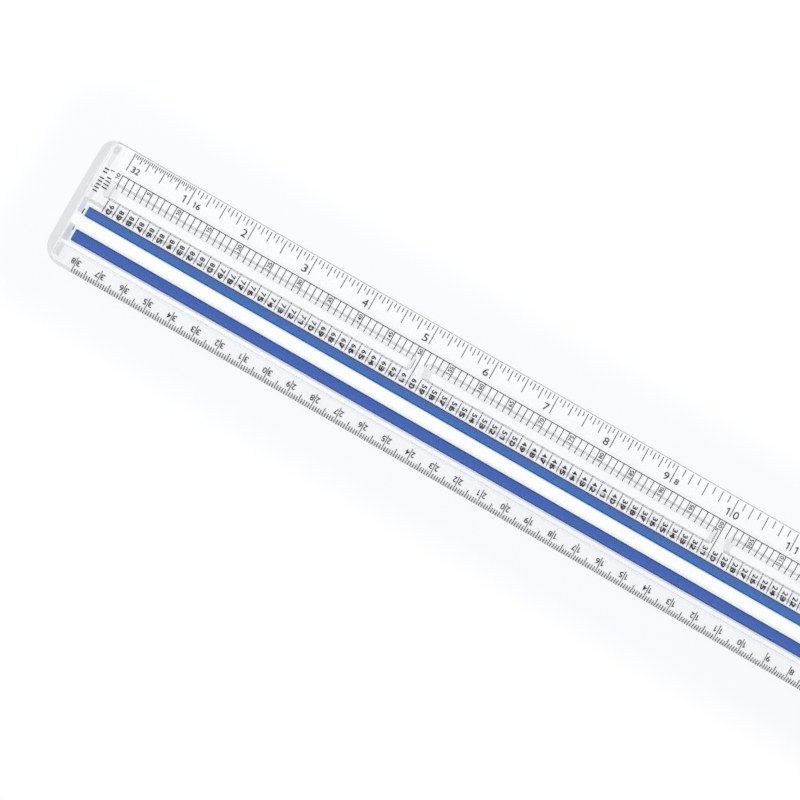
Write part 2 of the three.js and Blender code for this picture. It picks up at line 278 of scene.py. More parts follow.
# ------------------------------------------------------------------ materials

class Nodes:
    """Short ways to add and join shader nodes."""

    def __init__(self, tree):
        self.tree = tree
        tree.nodes.clear()

    def add(self, kind, **values):
        node = self.tree.nodes.new(kind)
        for key, value in values.items():
            setattr(node, key, value)
        return node

    def put(self, target, source):
        if isinstance(source, bpy.types.NodeSocket):
            self.tree.links.new(source, target)
        else:
            target.default_value = source

    def math(self, operation, a, b=0.0, clamp=False):
        node = self.add("ShaderNodeMath", operation=operation, use_clamp=clamp)
        self.put(node.inputs[0], a)
        self.put(node.inputs[1], b)
        return node.outputs[0]

    def mix_colour(self, factor, a, b):
        node = self.add("ShaderNodeMix", data_type="RGBA")
        self.put(node.inputs["Factor"], factor)
        self.put(node.inputs[6], a)
        self.put(node.inputs[7], b)
        return node.outputs[2]

    def ramp(self, value, low, high):
        """0 below low and 1 above high, eased in between."""
        node = self.add("ShaderNodeMapRange", interpolation_type="SMOOTHSTEP")
        self.put(node.inputs["Value"], value)
        self.put(node.inputs["From Min"], low)
        self.put(node.inputs["From Max"], high)
        return node.outputs["Result"]

    def band(self, value, low, high, soft):
        """1 between low and high, eased to 0 outside."""
        below = self.math("SUBTRACT", 1.0, self.ramp(value, high - soft, high + soft))
        return self.math("MULTIPLY", self.ramp(value, low - soft, low + soft), below)

    def position(self):
        """X, Y and Z of the shaded point in millimetres."""
        place = self.add("ShaderNodeTexCoord")
        scaled = self.add("ShaderNodeVectorMath", operation="SCALE")
        self.put(scaled.inputs[0], place.outputs["Object"])
        scaled.inputs["Scale"].default_value = 1000.0
        split = self.add("ShaderNodeSeparateXYZ")
        self.put(split.inputs[0], scaled.outputs[0])
        return scaled.outputs[0], split.outputs

    def noise(self, vector, scale, detail=2.0):
        node = self.add("ShaderNodeTexNoise")
        self.put(node.inputs["Vector"], vector)
        node.inputs["Scale"].default_value = scale
        node.inputs["Detail"].default_value = detail
        return node.outputs["Fac"]

    def bump(self, height, strength, distance):
        node = self.add("ShaderNodeBump")
        self.put(node.inputs["Height"], height)
        node.inputs["Strength"].default_value = strength
        node.inputs["Distance"].default_value = distance
        return node.outputs["Normal"]

    def finish(self, shader):
        out = self.add("ShaderNodeOutputMaterial")
        self.put(out.inputs["Surface"], shader)


def new_material(name):
    material = bpy.data.materials.new(name)
    material.use_nodes = True
    return material, Nodes(material.node_tree)


def grey(value, blue=1.0):
    return (value, value, min(1.0, value * blue), 1.0)


def for_light_rays(n, clear, passed):
    """
    Lamps and diffuse light go straight through, so that print and table stay evenly lit. So does a
    ray that has been caught inside for long, because it would come out black.
    """
    path = n.add("ShaderNodeLightPath")
    lit = n.math("MAXIMUM", path.outputs["Is Shadow Ray"], path.outputs["Is Diffuse Ray"])
    lit = n.math("MAXIMUM", lit, n.math("GREATER_THAN", path.outputs["Ray Depth"], CAUGHT_DEPTH))
    through = n.add("ShaderNodeBsdfTransparent")
    n.put(through.inputs["Color"], passed)
    mix = n.add("ShaderNodeMixShader")
    n.put(mix.inputs[0], lit)
    n.put(mix.inputs[1], clear)
    n.put(mix.inputs[2], through.outputs[0])
    return mix.outputs[0]


def glass_shader(n, vector, colour, ior, waviness):
    """Clear plastic that takes its colour, painted shade included, once, where it is first looked
    into.
    """
    path = n.add("ShaderNodeLightPath")
    glass = n.add("ShaderNodeBsdfGlass")
    glass.inputs["IOR"].default_value = ior
    glass.inputs["Roughness"].default_value = 0.0
    n.put(glass.inputs["Color"], n.mix_colour(path.outputs["Is Camera Ray"], grey(0.985), colour))
    n.put(glass.inputs["Normal"], n.bump(n.noise(vector, 0.35), waviness, 0.00004))
    return glass.outputs[0]


def acrylic(name, grey_level, passed=0.99, waviness=0.008, ior=ACRYLIC_IOR, spots=(), rings=()):
    """Clear plastic greyed to the given level, on most faces a painted shade; spots are patches of
    painted shade and highlight and rings are moulding marks, each placed in plan with its own grey.
    """
    material, n = new_material(name)
    vector, (x, y, _) = n.position()
    mottle = n.noise(vector, 0.12, 3.0)
    colour = n.mix_colour(mottle, grey(grey_level * 0.98), grey(grey_level, 1.01))
    for (x0, x1), (y0, y1), soft, spot_grey in spots:
        patch = n.math("MULTIPLY", n.band(x, x0, x1, soft), n.band(y, y0, y1, soft))
        colour = n.mix_colour(patch, colour, grey(spot_grey))
    for centre_x, centre_y, inner, outer, ring_grey in rings:
        across = n.math("POWER", n.math("SUBTRACT", x, centre_x), 2)
        up = n.math("POWER", n.math("SUBTRACT", y, centre_y), 2)
        reach = n.math("SQRT", n.math("ADD", across, up))
        colour = n.mix_colour(n.band(reach, inner, outer, 0.15), colour, grey(ring_grey))
    n.finish(for_light_rays(n, glass_shader(n, vector, colour, ior, waviness), grey(passed)))
    return material


def cemented():
    """
    Bonded faces, between blade and lens bar and at the roofs of the pockets for print and film:
    optically one piece, so nothing bends there.
    """
    material, n = new_material("cemented_face")
    clear = n.add("ShaderNodeBsdfTransparent")
    n.finish(clear.outputs[0])
    return material


def lens_glass(name, grey_level, waviness=0.006):
    """Clear acrylic with painted shade: faint lines along the bar, and painted reflections and
    shade in its ends, for what its curved face gathers.
    """
    material, n = new_material(name)
    vector, (x, y, _) = n.position()
    off_axis = n.math("SUBTRACT", y, LENS_Y)
    past_end = n.math("SUBTRACT", n.math("ABSOLUTE", x), STRIP_HALF)
    colour = grey(grey_level, 1.01)
    for low, high, soft, line_colour in LENS_LINES:
        colour = n.mix_colour(n.band(off_axis, low, high, soft), colour, line_colour)
    for start, finish, low, high, patch_colour in LENS_END_PATCHES:
        along = n.band(past_end, start, finish, 0.12)
        patch = n.math("MULTIPLY", along, n.band(off_axis, low, high, 0.3))
        colour = n.mix_colour(patch, colour, patch_colour)
    glass = glass_shader(n, vector, colour, ACRYLIC_IOR, waviness)
    n.finish(for_light_rays(n, glass, grey(1.0)))
    return material


def film(name, edge_colour, near_colour, far_colour, near_y, far_y):
    """Tinted film, darker along both long edges, with a slight change of blue across it."""
    material, n = new_material(name)
    vector, (_, y, _) = n.position()
    shift = n.ramp(y, far_y, near_y)
    body = n.mix_colour(shift, far_colour, near_colour)
    speckle = n.noise(vector, 1.3, 4.0)
    lighter = n.mix_colour(0.06, body, FILM_SPECKLE)
    body = n.mix_colour(speckle, body, lighter)
    low_edge = n.math("SUBTRACT", 1.0, n.ramp(y, far_y + 0.2, far_y + 0.6))
    high_edge = n.ramp(y, near_y - 0.6, near_y - 0.2)
    edge = n.math("MAXIMUM", low_edge, high_edge)
    colour = n.mix_colour(edge, body, edge_colour)
    shader = n.add("ShaderNodeBsdfPrincipled")
    n.put(shader.inputs["Base Color"], colour)
    shader.inputs["Roughness"].default_value = 0.5
    shader.inputs["Specular IOR Level"].default_value = 0.06
    n.put(shader.inputs["Normal"], n.bump(n.noise(vector, 2.0), 0.05, 0.00003))
    n.finish(shader.outputs[0])
    return material


def ink():
    material, n = new_material("black_ink")
    vector, _ = n.position()
    speckle = n.noise(vector, 6.0, 3.0)
    shader = n.add("ShaderNodeBsdfPrincipled")
    n.put(shader.inputs["Base Color"], n.mix_colour(speckle, grey(0.012, 1.2), grey(0.035, 1.2)))
    shader.inputs["Roughness"].default_value = 0.55
    shader.inputs["Specular IOR Level"].default_value = 0.25
    n.finish(shader.outputs[0])
    return material


# ------------------------------------------------------------------ blade

def top_height(y):
    climb = (from_inch_edge(0) - y) / INCH_BEVEL
    return min(THICKNESS, INCH_EDGE_THICKNESS + climb * (THICKNESS - INCH_EDGE_THICKNESS))


def end_profile(inset, radii):
    """Points up the right-hand end: a corner arc, the bowed end and a corner arc."""
    bow = LENGTH / 2 - inset["end"] - END_BOW_RADIUS

    def corner(edge_y, radius):
        y = edge_y - math.copysign(radius, edge_y)
        x = bow + math.sqrt((END_BOW_RADIUS - radius) ** 2 - y * y)
        return x, y, math.atan2(y, x - bow)

    def arc(centre_x, centre_y, radius, start, finish):
        for i in range(CORNER_STEPS + 1):
            angle = start + (finish - start) * i / CORNER_STEPS
            yield centre_x + radius * math.cos(angle), centre_y + radius * math.sin(angle)

    low_x, low_y, low_tangent = corner(-WIDTH / 2 + inset["cm"], radii["cm"])
    high_x, high_y, high_tangent = corner(WIDTH / 2 - inset["inch"], radii["inch"])
    points = list(arc(low_x, low_y, radii["cm"], -math.pi / 2, low_tangent))
    start_y = points[-1][1]
    finish_y = high_y + radii["inch"] * math.sin(high_tangent)
    crease = min(CREASE_Y, start_y + 0.97 * (finish_y - start_y))
    for i in range(1, BOW_STEPS + 1):
        y = start_y + (crease - start_y) * i / BOW_STEPS
        points.append((bow + math.sqrt(END_BOW_RADIUS ** 2 - y * y), y))
    points += arc(high_x, high_y, radii["inch"], high_tangent, math.pi / 2)
    return points


def blade_ring(inset, radii, height):
    right = end_profile(inset, radii)
    left = [(-x, y) for x, y in reversed(right)]
    return [Vector((x, y, height(y))) for x, y in right + left]


def grown(inset, by):
    return {side: width + by for side, width in inset.items()}


def eased(radii, by):
    return {side: radius - by for side, radius in radii.items()}


def blend_rings(a, b, share):
    return [p.lerp(q, share) for p, q in zip(a, b)]


def blade_blank():
    wall = blade_ring(FULL, CORNER_RADII, lambda y: EDGE_HEIGHT)
    rim = blade_ring(TOP, INNER_CORNER_RADII, top_height)
    inner = blade_ring(grown(TOP, EDGE_ROUND), eased(INNER_CORNER_RADII, EDGE_ROUND), top_height)
    rings = [
        blade_ring(grown(FULL, FOOT_CHAMFER), eased(CORNER_RADII, FOOT_CHAMFER), lambda y: 0.0),
        blade_ring(FULL, CORNER_RADII, lambda y: FOOT_CHAMFER),
        blade_ring(FULL, CORNER_RADII, lambda y: EDGE_HEIGHT - EDGE_ROUND),
        blend_rings(wall, rim, 0.04),
        blend_rings(wall, rim, 0.96),
        inner,
    ]
    count = len(inner)
    crease_right = CORNER_STEPS + BOW_STEPS
    crease_left = count - 1 - crease_right
    bevel = list(range(crease_right, crease_left + 1))
    flat = list(range(crease_right + 1)) + list(range(crease_left, count))
    return loft("clear_blade", rings, [bevel, flat])


def rounded_rectangle(x0, x1, y0, y1, radius, z, steps=7):
    corners = (
        (x1 - radius, y0 + radius, -90),
        (x1 - radius, y1 - radius, 0),
        (x0 + radius, y1 - radius, 90),
        (x0 + radius, y0 + radius, 180),
    )
    ring = []
    for x, y, start in corners:
        for i in range(steps + 1):
            angle = math.radians(start + 90 * i / steps)
            ring.append(Vector((x + radius * math.cos(angle), y + radius * math.sin(angle), z)))
    return ring


def slot_span(slot):
    """Where the slot starts and finishes at the paper, between its two multiples of five inches."""
    mark = ZERO_X + slot * SLOT_PITCH
    return mark + (FIRST_SLOT_START if slot == 0 else SLOT_START), mark + SLOT_PITCH - SLOT_FINISH


def slot_cutter(slot):
    start, finish = slot_span(slot)
    lean = FIRST_LEAN if slot == 0 else 1.0

    def ring(level, z=None):
        return rounded_rectangle(
            start - level["start"] * lean,
            finish + level["finish"],
            from_inch_edge(SLOT_FAR + level["far"]),
            from_inch_edge(SLOT_NEAR - level["near"]),
            level["radius"],
            level["z"] if z is None else z,
        )

    lip, knee, rim = ring(LIP), ring(KNEE), ring(RIM)
    above = {key: value + FLARE for key, value in RIM.items()}
    rings = [
        ring(LIP, -1.0),
        lip,
        blend_rings(lip, knee, 0.8),
        blend_rings(knee, rim, 0.12),
        blend_rings(knee, rim, 0.96),
        ring(above),
    ]
    return loft("slot_cutter", rings)


def groove_cutter(side):
    """A shallow groove across the top near one end, which follows the top face down the bevel."""
    low, high = -WIDTH / 2 + GROOVE_SPAN["cm"], WIDTH / 2 - GROOVE_SPAN["inch"]

    def ring(inner, outer, run_out, rise):
        x0, x1 = sorted(side * (SCALE_LENGTH / 2 + past) for past in (inner, outer))
        y0, y1 = low + run_out, high - run_out
        plan = [(x0, y0), (x1, y0), (x1, CREASE_Y), (x1, y1), (x0, y1), (x0, CREASE_Y)]
        return [Vector((x, y, top_height(y) + rise)) for x, y in plan]

    floor = ring(GROOVE_INNER[1], GROOVE_OUTER[0], GROOVE_RUN_OUT, -GROOVE_DEPTH)
    mouth = ring(GROOVE_INNER[0], GROOVE_OUTER[1], 0, 0)
    above = ring(GROOVE_INNER[0], GROOVE_OUTER[1], 0, 1)
    return loft("groove", [floor, mouth, above], patches=([0, 1, 2, 5], [5, 2, 3, 4]))


def print_pocket(near, far, margin):
    half = SCALE_LENGTH / 2 + margin
    low, high = from_inch_edge(far), from_inch_edge(near)
    return box_piece("pocket", (-half, low, -1.0), (half, high, PRINT_POCKET_DEPTH))


def strip_edges(side):
    """Low and high edge of the film above the lens bar's axis, side 1, or below it, side -1."""
    inner, outer = UPPER_STRIP if side > 0 else LOWER_STRIP
    return tuple(sorted((LENS_Y + side * inner, LENS_Y + side * outer)))


def build_blade():
    blade = blade_blank()
    seat = LENS_WIDTH / 2 + SEAT_CLEARANCE
    half = LENS_LENGTH / 2 + SEAT_CLEARANCE
    cutters = [
        box_piece("seat", (-half, LENS_Y - seat, SEAT_Z), (half, LENS_Y + seat, THICKNESS + 1)),
        groove_cutter(1),
        groove_cutter(-1),
    ]
    cutters += [print_pocket(*plan) for plan in PRINT_POCKETS]
    for side in (1, -1):
        low, high = strip_edges(side)
        top_corner = (STRIP_HALF, high, STRIP_POCKET_DEPTH)
        cutters.append(box_piece("strip", (-STRIP_HALF, low, -1.0), top_corner))
    cutters += [slot_cutter(slot) for slot in range(3)]
    subtract(blade, cutters)
    return blade


# Kinds of blade face; most of them take clear acrylic greyed by painted shade.
BLADE_FACE_KINDS = (
    "top", "under", "bond", "end", "edge", "cm",
    "gentle", "steep", "far", "web", "groove", "groove_cm",
)


def on_border(x, y):
    """Whether a point in plan lies on the sloping border around the top face."""
    side = "inch" if y > 0 else "cm"
    radius = INNER_CORNER_RADII[side]
    bow = END_BOW_RADIUS - math.sqrt(END_BOW_RADIUS ** 2 - y * y)
    past_x = abs(x) - (LENGTH / 2 - TOP["end"] - bow - radius)
    past_y = abs(y) - (WIDTH / 2 - TOP[side] - radius)
    if past_x > 0 and past_y > 0:
        return math.hypot(past_x, past_y) > radius - EDGE_ROUND
    return past_x > radius - EDGE_ROUND or past_y > radius + 0.02


def blade_finish(centre, normal):
    """Which kind a face of the blade is, from where it lies and the way it faces."""
    from_inch = from_inch_edge(centre.y)
    in_seat = abs(from_inch - LENS_AXIS) < LENS_WIDTH / 2 and abs(centre.x) < LENS_LENGTH / 2
    if normal.z < -0.5:
        return "bond" if centre.z > PRINT_POCKET_DEPTH / 2 else "under"
    if in_seat and centre.z > SEAT_Z - 0.2 and normal.z > 0.5:
        return "bond"
    for slot in range(3):
        start, finish = slot_span(slot)
        inside = start - WALLS_BEFORE < centre.x < finish + WALLS_AFTER
        inside = inside and WALLS_NEAR < from_inch < WALLS_FAR
        if inside and (normal.z < 0.98 or centre.z < THICKNESS - 0.1):
            if abs(normal.y) < 0.6:
                return "web"
            if from_inch > WALLS_MIDDLE:
                return "far"
            return "gentle" if normal.z > 0.75 or centre.z < LIP["z"] else "steep"
    past = abs(centre.x) - SCALE_LENGTH / 2
    if GROOVE_INNER[0] - 0.1 < past < GROOVE_OUTER[1] + 0.1 and abs(normal.x) > 0.1:
        return "groove" if from_inch < 33.0 else "groove_cm"
    if not on_border(centre.x, centre.y):
        return "top"
    side = "inch" if centre.y > 0 else "cm"
    if normal.z > 0.1 and abs(centre.x) > LENGTH / 2 - CORNER_RADII[side] + 0.6:
        return "end"
    return "cm" if side == "cm" and normal.z > 0.3 else "edge"


def finish_blade(blade):
    """Gives each face its material, most of them greyed by painted shade; the rings are moulding
    marks near the zero end, the spots painted shade and a painted highlight.
    """
    # Patches of painted shade near the zero end, one round the gate mark in the groove and one low
    # in the groove; the rings are moulding marks.
    shade_by_gate = ((ZERO_X - 7.4, ZERO_X - 5.1), (from_inch_edge(4.6), from_inch_edge(1.4)), 0.35)
    low_groove_shade = ((ZERO_X - 7.9, ZERO_X - 6.9), (from_inch_edge(47.2), from_inch_edge(40.0)), 0.3)
    gate_ring = (ZERO_X - 6.4, from_inch_edge(3.1), 0.75, 1.05)
    pin_ring = (ZERO_X - 2.6, from_inch_edge(3.5), 0.8, 1.0)
    face_materials = {
        "top": acrylic(
            "clear_acrylic_top",
            0.995,
            passed=0.985,
            spots=((*shade_by_gate, 0.8), (*low_groove_shade, 0.86)),
            rings=((*gate_ring, 0.7), (*pin_ring, 0.93)),
        ),
        "under": acrylic("clear_acrylic_under", 1.0),
        "bond": cemented(),
        # Painted shade: the end and centimetre bevels, the side edges and the walls of slots, webs
        # and grooves are greyed for the light they bend away.
        "end": acrylic("clear_acrylic_end_bevel", 0.84),
        "edge": acrylic("clear_acrylic_edge", 0.54),
        "cm": acrylic("clear_acrylic_centimetre_bevel", 0.8, ior=CM_BEVEL_IOR),
        "gentle": acrylic("clear_acrylic_slot_shoulder", 1.0),
        "steep": acrylic("clear_acrylic_slot_wall", 0.71),
        "far": acrylic("clear_acrylic_slot_far_wall", 0.68),
        "web": acrylic(
            "clear_acrylic_web_wall",
            0.86,
            spots=(
                # Painted shade, a painted highlight and lighter painted shade across the first
                # slot's end wall.
                ((ZERO_X - 0.7, ZERO_X - 0.25), SLOT_BAND, 0.15, 0.66),
                ((ZERO_X + 0.1, ZERO_X + 0.45), SLOT_BAND, 0.12, 1.0),
                ((ZERO_X + 1.0, ZERO_X + 2.6), SLOT_BAND, 0.3, 0.93),
            ),
        ),
        "groove": acrylic(
            "clear_acrylic_groove_wall", 0.88, spots=((*shade_by_gate, 0.76),), rings=((*gate_ring, 0.68),)
        ),
        "groove_cm": acrylic("clear_acrylic_groove_wall_deep", 0.8),
    }
    blade.data.materials.clear()
    for name in BLADE_FACE_KINDS:
        blade.data.materials.append(face_materials[name])
    for face in blade.data.polygons:
        face.material_index = BLADE_FACE_KINDS.index(blade_finish(face.center, face.normal))


# ------------------------------------------------------------------ lens bar

def lens_height(x, y):
    """Height of the bar's curved face: an elliptical section that rounds off at both ends."""
    across = min(1.0, abs(y) / (LENS_WIDTH / 2))
    along = max(0.0, abs(x) - (LENS_LENGTH / 2 - LENS_END_SLOPE)) / LENS_END_SLOPE
    reach = (across ** 8 + min(1.0, along) ** 8) ** 0.25
    return LENS_SPRING + (LENS_TOP - LENS_SPRING) * math.sqrt(max(0.0, 1.0 - min(1.0, reach)))


def build_lens():
    half, wide = LENS_LENGTH / 2, LENS_WIDTH / 2
    ys = [-wide * math.cos(math.pi * i / LENS_ROWS) for i in range(LENS_ROWS + 1)]
    quarters = [math.pi / 2 * i / LENS_END_STEPS for i in range(LENS_END_STEPS + 1)]
    right = [half - LENS_END_SLOPE * (1 - math.cos(angle)) for angle in quarters]
    middle = [half * (1 - 2 * i / LENS_LONG_STEPS) for i in range(1, LENS_LONG_STEPS)]
    xs = sorted({round(x, 5) for x in right + middle + [-x for x in right]})
    bm = bmesh.new()
    grid = [[bm.verts.new((x, LENS_Y + y, lens_height(x, y))) for y in ys] for x in xs]
    for a, b in zip(grid, grid[1:]):
        for i in range(LENS_ROWS):
            bm.faces.new((a[i], b[i], b[i + 1], a[i + 1]))
    rim = [row[0] for row in grid] + grid[-1][1:] + [row[-1] for row in reversed(grid[:-1])]
    rim += list(reversed(grid[0][1:-1]))
    under = [bm.verts.new((v.co.x, v.co.y, SEAT_Z + BOND_GAP)) for v in rim]
    for i, vertex in enumerate(rim):
        j = (i + 1) % len(rim)
        bm.faces.new((under[i], under[j], rim[j], vertex))
    bm.faces.new(list(reversed(under)))
    mesh = bpy.data.meshes.new("magnifying_bar")
    bm.to_mesh(mesh)
    bm.free()
    bar = new_object("magnifying_bar", mesh)
    bar.data.materials.append(lens_glass("lens_acrylic", 0.995))
    bar.data.materials.append(cemented())
    # Painted shade on the steep flank of the bar that faces the centimetre edge.
    bar.data.materials.append(acrylic("lens_acrylic_flank", 0.86, passed=1.0, waviness=0.006))
    for face in bar.data.polygons:
        upward = face.normal.z
        steep = upward < 0.62 and face.normal.y < 0
        face.material_index = 1 if upward < -0.5 else 2 if steep else 0
    return bar


# ------------------------------------------------------------------ printed scales

# Outlines of a 1 without a foot, one unit tall.
ONE_BOLD = [
    (0.02, -0.5), (0.22, -0.5), (0.22, 0.5), (0.07, 0.5), (-0.2, 0.3), (-0.2, 0.13), (0.02, 0.26),
]
ONE_LIGHT = [
    (0.06, -0.5), (0.2, -0.5), (0.2, 0.5), (0.1, 0.5), (-0.18, 0.3), (-0.18, 0.17), (0.06, 0.31),
]


def digit_outlines(heavier, one):
    """Flat meshes of the ten digits, one unit tall, centred on the origin."""
    shapes = {"1": ([Vector((x, y, 0)) for x, y in one], [tuple(range(len(one)))])}
    for digit in "023456789":
        curve = bpy.data.curves.new("digit", "FONT")
        curve.body = digit
        curve.size = 1.0
        curve.offset = heavier
        curve.resolution_u = 4
        text = new_object("digit", curve)
        bpy.context.view_layer.update()
        mesh = bpy.data.meshes.new_from_object(
            text.evaluated_get(bpy.context.evaluated_depsgraph_get())
        )
        bpy.data.objects.remove(text)
        xs = [v.co.x for v in mesh.vertices]
        ys = [v.co.y for v in mesh.vertices]
        height = max(ys) - min(ys)
        shift = Vector(((max(xs) + min(xs)) / 2, (max(ys) + min(ys)) / 2, 0))
        outline = [(v.co - shift) / height for v in mesh.vertices]
        faces = [tuple(face.vertices) for face in mesh.polygons]
        shapes[digit] = (outline, faces)
    return shapes


class Print:
    """Collects flat marks in plan and turns them into one thin sheet of ink."""

    styles = {}

    def __init__(self):
        self.bm = bmesh.new()

    def add(self, points, faces):
        made = [self.bm.verts.new((x, y, INK_LOW)) for x, y in points]
        for face in faces:
            self.bm.faces.new([made[i] for i in face])

    def bar(self, x0, x1, y0, y1):
        self.add([(x0, y0), (x1, y0), (x1, y1), (x0, y1)], [(0, 1, 2, 3)])

    def digit(self, symbol, x, y, size, turn=0, style="light"):
        """One digit centred at x, y, turned counterclockwise by so many degrees."""
        height, width = size
        outline, faces = Print.styles[style][symbol]
        span = max(p.x for p in outline) * 2
        narrow = 1.0 if symbol == "1" else width / (height * span)
        c, s = math.cos(math.radians(turn)), math.sin(math.radians(turn))
        points = []
        for p in outline:
            u, v = p.x * height * narrow, p.y * height
            points.append((x + c * u - s * v, y + s * u + c * v))
        self.add(points, faces)

    def piece(self, name, material):
        bm = self.bm
        bmesh.ops.remove_doubles(bm, verts=bm.verts, dist=0.0005)
        bmesh.ops.recalc_face_normals(bm, faces=bm.faces)
        for face in bm.faces:
            if face.normal.z < 0:
                face.normal_flip()
        risen = bmesh.ops.extrude_face_region(bm, geom=list(bm.faces), use_keep_orig=True)
        top = [v for v in risen["geom"] if isinstance(v, bmesh.types.BMVert)]
        bmesh.ops.translate(bm, verts=top, vec=(0, 0, INK_HIGH - INK_LOW))
        bmesh.ops.recalc_face_normals(bm, faces=bm.faces)
        mesh = bpy.data.meshes.new(name)
        bm.to_mesh(mesh)
        bm.free()
        mesh.materials.append(material)
        return new_object(name, mesh)


def tick(sheet, x, line, length, step, width):
    """One mark, from the scale's line the way it runs."""
    root = from_inch_edge(line)
    tip = root + step * length
    sheet.bar(x - width / 2, x + width / 2, min(root, tip), max(root, tip))


def inch_print(material):
    """Inches from 0 to 15, in 32nds up to 1, in 16ths up to 9 and in 8ths beyond."""
    sheet = Print()
    for n in range(15 * 32 + 1):
        part = next(p for p in INCH_MARKS if (n * p) % 32 == 0)
        finest = 32 if n < 32 else 16 if n < 9 * 32 else 8
        if part <= finest:
            tick(sheet, ZERO_X + n * INCH / 32, INCH_LINE, INCH_MARKS[part], -1, FINE)
    y = from_inch_edge(INCH_DIGIT_LINE)
    for inch in range(1, 16):
        x = ZERO_X + inch * INCH
        if inch < 10:
            sheet.digit(str(inch), x - 2.2, y, INCH_DIGIT, style="medium")
        else:
            sheet.digit("1", x - 1.7, y, INCH_DIGIT, style="medium")
            sheet.digit(str(inch)[1], x + 1.9, y, INCH_DIGIT, style="medium")
    small_y = from_inch_edge(DIVISION_DIGIT_LINE)
    for inch, label in ((0, "32"), (1, "16"), (9, "8")):
        for place, symbol in enumerate(label):
            x = ZERO_X + inch * INCH + 2.2 + 1.75 * place
            sheet.digit(symbol, x, small_y, DIVISION_DIGIT)
    return sheet.piece("inch_scale", material)


def tenths_print(material):
    """Tenths of an inch along the slots, with a fraction and two rows of strokes at the end."""
    sheet = Print()
    for n in range(151):
        web = n % 50 == 0 and 0 < n < 150
        length = WEB_MARK if web else TENTH_MARK
        tick(sheet, ZERO_X + n * INCH / 10, TENTHS_LINE, length, -1, FINE)
    for value in range(5, 151, 5):
        x = ZERO_X + value * INCH / 10 - 1.15
        label = str(value)
        pitch = 1.15 if len(label) < 3 else 1.3
        for place, symbol in enumerate(label):
            y = from_inch_edge(TENTHS_DIGIT_LINE + pitch * (len(label) - 1 - place))
            sheet.digit(symbol, x, y, TENTHS_DIGIT, turn=90)
    root = from_inch_edge(TENTHS_LINE)
    sheet.bar(ZERO_X, END_X, root - FINE, root)
    sheet.digit("1", ZERO_X - 4.0, from_inch_edge(10.6), TENTHS_DIGIT, turn=90)
    sheet.digit("0", ZERO_X - 1.5, from_inch_edge(10.7), FRACTION_DIGIT, turn=90)
    sheet.digit("1", ZERO_X - 1.5, from_inch_edge(11.95), FRACTION_DIGIT, turn=90)
    strokes(sheet, *LONG_ROW)
    strokes(sheet, *SHORT_ROW)
    return sheet.piece("tenths_scale", material)


def strokes(sheet, before_zero, distances):
    """A row of short plain strokes running up the ruler's end, which stand for a line of type."""
    x = ZERO_X - before_zero
    half, thin = STROKE_LENGTH / 2, STROKE_WIDTH / 2
    for distance in distances:
        y = from_inch_edge(distance)
        sheet.bar(x - half, x + half, y - thin, y + thin)


def line_count_print(material):
    """Sixths of an inch, counted down from 90, with the ones partly below the lens bar."""
    sheet = Print()
    pitch = INCH / 6
    for n in range(91):
        tick(sheet, ZERO_X + n * pitch, COUNT_LINE, COUNT_MARK, -1, FINE)
    tens_y, ones_y = from_inch_edge(COUNT_TENS_LINE), LENS_Y + COUNT_ONES_OFF_AXIS
    for value in range(1, 91):
        x = ZERO_X + (90 - value + 0.5) * pitch
        if value >= 10:
            sheet.digit(str(value)[0], x, tens_y, COUNT_TENS_DIGIT, -90, "bold")
        sheet.digit(str(value)[-1], x, ones_y, COUNT_ONES_DIGIT, -90, "heavy")
    return sheet.piece("line_count_scale", material)


def centimetre_print(material):
    """Millimetres from 38 cm down to 0, read with the ruler turned round."""
    sheet = Print()
    for n in range(381):
        length = CM_MARK if n % 10 == 0 else HALF_CM_MARK if n % 5 == 0 else MM_MARK
        tick(sheet, END_X - n, CM_LINE, length, 1, BOLD if n % 10 else FINE)
    y = from_inch_edge(CM_DIGIT_LINE)
    for value in range(39):
        x = END_X - 10 * value
        label = str(value)
        sheet.digit(label[0], x + 1.1, y, CM_DIGIT, turn=180)
        if value > 9:
            sheet.digit(label[1], x - 1.1, y, CM_DIGIT, turn=180)
    return sheet.piece("centimetre_scale", material)


# ------------------------------------------------------------------ pieces

def place(piece, node, slot):
    """Hands a finished piece to the frame, in place of its CAD node."""
    to_metres(piece)
    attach(piece, "root")
    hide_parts(node)


def build_strip(name, side, colours):
    low, high = strip_edges(side)
    half = STRIP_HALF - FILM_END_GAP
    low_y, high_y = low + FILM_SIDE_GAP, high - FILM_SIDE_GAP
    rings = [
        rounded_rectangle(-half, half, low_y, high_y, FILM_CORNER, z) for z in (FILM_LOW, FILM_HIGH)
    ]
    strip = loft(name, rings)
    strip.data.materials.append(film(name + "_film", *colours, high, low))
    return strip


blade = build_blade()
finish_blade(blade)
shade(blade, 32)
place(blade, "blade", "clear_acrylic")

lens = build_lens()
shade(lens, 40)
place(lens, "magnifier_bar", "lens_acrylic")

upper = build_strip("blue_strip_upper", 1, UPPER_FILM)
place(upper, "highlight_strip_upper", "blue_film")
lower = build_strip("blue_strip_lower", -1, LOWER_FILM)
place(lower, "highlight_strip_lower", "violet_blue_film")

Print.styles = {
    "light": digit_outlines(0.004, ONE_LIGHT),
    "medium": digit_outlines(-0.002, ONE_LIGHT),
    "bold": digit_outlines(0.016, ONE_BOLD),
    "heavy": digit_outlines(0.032, ONE_BOLD),
}
black = ink()
place(inch_print(black), "inch_scale_print", "black_ink")
place(tenths_print(black), "tenths_scale_print", "black_ink")
place(line_count_print(black), "line_count_print", "black_ink")
place(centimetre_print(black), "centimetre_scale_print", "black_ink")


# ------------------------------------------------------------------ studio

